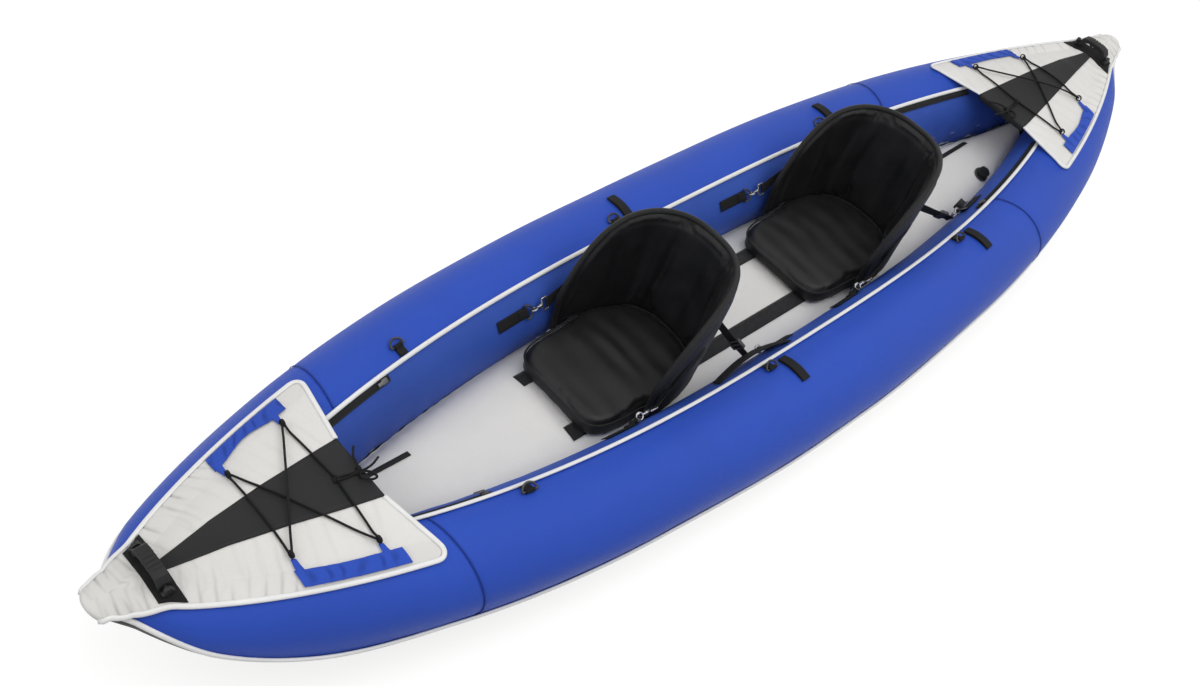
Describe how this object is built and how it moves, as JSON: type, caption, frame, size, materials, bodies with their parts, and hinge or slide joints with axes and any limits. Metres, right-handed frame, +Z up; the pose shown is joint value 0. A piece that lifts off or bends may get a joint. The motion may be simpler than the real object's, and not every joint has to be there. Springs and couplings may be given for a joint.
{
  "type": "tandem kayak",
  "caption": "Inflatable open-cockpit kayak with twin side tubes, inflated floor, laced fabric decks, padded folding seats on straps, carry handles and lashing rings.",
  "frame": {"origin": "middle of the hull at ground level, under the flat part of the bottom", "axes": "+X toward the bow, +Y to port, +Z up"},
  "size_m": [3.4, 0.8836, 0.4435],
  "materials": {
    "blue_cover": "coated nylon, satin",
    "hull_vinyl": "smooth coated vinyl",
    "bladder": "welded vinyl",
    "grey_fabric": "coated nylon, satin",
    "white_piping": "smooth vinyl welt",
    "black_fabric": "woven polyester",
    "black_webbing": "ribbed webbing",
    "elastic_cord": "braided sheath",
    "black_plastic": "moulded, fine grain",
    "ring_steel": "plated wire",
    "zip_tape": "woven tape with coil",
    "zip_metal": "painted die casting"
  },
  "bodies": {
    "hull": {"hull_bottom": "hull_vinyl", "port_side_panel": "blue_cover", "starboard_side_panel": "blue_cover", "port_inner_panel": "blue_cover", "starboard_inner_panel": "blue_cover", "port_air_chamber": "bladder", "starboard_air_chamber": "bladder", "floor_air_chamber": "bladder", "floor_cover": "grey_fabric", "gunwale_piping": "white_piping", "chine_piping": "white_piping", "bow_deck": "grey_fabric", "stern_deck": "grey_fabric", "deck_center_panels": "black_fabric", "deck_edge_piping": "white_piping", "bungee_gussets": "blue_cover", "bungee_loops": "black_webbing", "bow_bungee": "elastic_cord", "stern_bungee": "elastic_cord", "handle_bands": "black_webbing", "handle_lugs": "black_plastic", "ring_tabs": "black_webbing", "paddle_straps": "black_webbing", "side_carry_straps": "black_webbing", "anchor_patches": "black_webbing", "anchor_rings": "ring_steel", "strap_hooks": "ring_steel", "seat_grip_strips": "black_webbing", "side_zips": "zip_tape", "floor_zips": "zip_tape", "valve_bodies": "black_plastic", "tow_loop": "black_webbing", "front_cushion": "black_fabric", "rear_cushion": "black_fabric", "front_wings": "black_fabric", "rear_wings": "black_fabric", "front_seat_straps": "black_webbing", "rear_seat_straps": "black_webbing", "front_back_straps": "black_webbing", "rear_back_straps": "black_webbing", "strap_buckles": "black_plastic"},
    "front_back": {"front_backrest": "black_fabric"},
    "rear_back": {"rear_backrest": "black_fabric"},
    "port_bow_dring": {"port_bow_ring": "ring_steel"},
    "starboard_bow_dring": {"starboard_bow_ring": "ring_steel"},
    "port_mid_dring": {"port_mid_ring": "ring_steel"},
    "starboard_mid_dring": {"starboard_mid_ring": "ring_steel"},
    "port_stern_dring": {"port_stern_ring": "ring_steel"},
    "starboard_stern_dring": {"starboard_stern_ring": "ring_steel"},
    "bow_handle": {"bow_grip": "black_plastic"},
    "stern_handle": {"stern_grip": "black_plastic"},
    "floor_cap": {"floor_valve_cap": "black_plastic"},
    "port_cap": {"port_valve_cap": "black_plastic"},
    "starboard_cap": {"starboard_valve_cap": "black_plastic"},
    "port_bow_pull": {"port_bow_slider": "zip_metal"},
    "starboard_bow_pull": {"starboard_bow_slider": "zip_metal"},
    "port_stern_pull": {"port_stern_slider": "zip_metal"},
    "starboard_stern_pull": {"starboard_stern_slider": "zip_metal"}
  },
  "joints": [
    {"name": "front_backrest_fold", "type": "hinge", "parent": "hull", "child": "front_back", "pos_m": [0.267, 0, 0.172], "axis": [0, 1, 0], "range_deg": [0, 85], "deforming": ["front_wings", "front_seat_straps", "front_back_straps"]},
    {"name": "rear_backrest_fold", "type": "hinge", "parent": "hull", "child": "rear_back", "pos_m": [-0.505, 0, 0.172], "axis": [0, 1, 0], "range_deg": [0, 85], "deforming": ["rear_wings", "rear_seat_straps", "rear_back_straps"]},
    {"name": "port_bow_ring_swing", "type": "hinge", "parent": "hull", "child": "port_bow_dring", "pos_m": [0.86559, 0.22478, 0.2727], "axis": [0.9851, -0.1666, 0.0433], "range_deg": [-120, 6]},
    {"name": "starboard_bow_ring_swing", "type": "hinge", "parent": "hull", "child": "starboard_bow_dring", "pos_m": [0.86559, -0.22478, 0.2727], "axis": [-0.9851, -0.1666, -0.0433], "range_deg": [0, 126]},
    {"name": "port_mid_ring_swing", "type": "hinge", "parent": "hull", "child": "port_mid_dring", "pos_m": [0.1666, 0.27654, 0.25717], "axis": [1, -0.0087, 0.0048], "range_deg": [-120, 6]},
    {"name": "starboard_mid_ring_swing", "type": "hinge", "parent": "hull", "child": "starboard_mid_dring", "pos_m": [0.1666, -0.27654, 0.25717], "axis": [-1, -0.0087, -0.0048], "range_deg": [0, 126]},
    {"name": "port_stern_ring_swing", "type": "hinge", "parent": "hull", "child": "port_stern_dring", "pos_m": [-0.60532, 0.25785, 0.26379], "axis": [0.9957, 0.0885, -0.0274], "range_deg": [-120, 6]},
    {"name": "starboard_stern_ring_swing", "type": "hinge", "parent": "hull", "child": "starboard_stern_dring", "pos_m": [-0.60532, -0.25785, 0.26379], "axis": [-0.9957, 0.0885, 0.0274], "range_deg": [0, 126]},
    {"name": "bow_grip_swing", "type": "hinge", "parent": "hull", "child": "bow_handle", "pos_m": [1.572, 0, 0.34242], "axis": [0, 1, 0], "range_deg": [-35, 35]},
    {"name": "stern_grip_swing", "type": "hinge", "parent": "hull", "child": "stern_handle", "pos_m": [-1.572, 0, 0.35594], "axis": [0, 1, 0], "range_deg": [-35, 35]},
    {"name": "floor_cap_turn", "type": "hinge", "parent": "hull", "child": "floor_cap", "pos_m": [-1.055, 0.06255, 0.12674], "axis": [0.0242, 0.3599, 0.9327], "range_deg": [0, 360]},
    {"name": "port_cap_turn", "type": "hinge", "parent": "hull", "child": "port_cap", "pos_m": [-0.83792, 0.13868, 0.16304], "axis": [0.1624, -0.9713, 0.1735], "range_deg": [0, 360]},
    {"name": "starboard_cap_turn", "type": "hinge", "parent": "hull", "child": "starboard_cap", "pos_m": [-0.83792, -0.13868, 0.16304], "axis": [0.1624, 0.9713, 0.1735], "range_deg": [0, 360]},
    {"name": "port_bow_zip_slide", "type": "slide", "parent": "hull", "child": "port_bow_pull", "axis": [0.9802, -0.1921, 0.0489], "range_m": [0, 0.06]},
    {"name": "starboard_bow_zip_slide", "type": "slide", "parent": "hull", "child": "starboard_bow_pull", "axis": [0.9802, 0.1921, 0.0489], "range_m": [0, 0.06]},
    {"name": "port_stern_zip_slide", "type": "slide", "parent": "hull", "child": "port_stern_pull", "axis": [-0.9886, -0.1452, 0.0412], "range_m": [0, 0.06]},
    {"name": "starboard_stern_zip_slide", "type": "slide", "parent": "hull", "child": "starboard_stern_pull", "axis": [-0.9886, 0.1452, 0.0412], "range_m": [0, 0.06]}
  ]
}
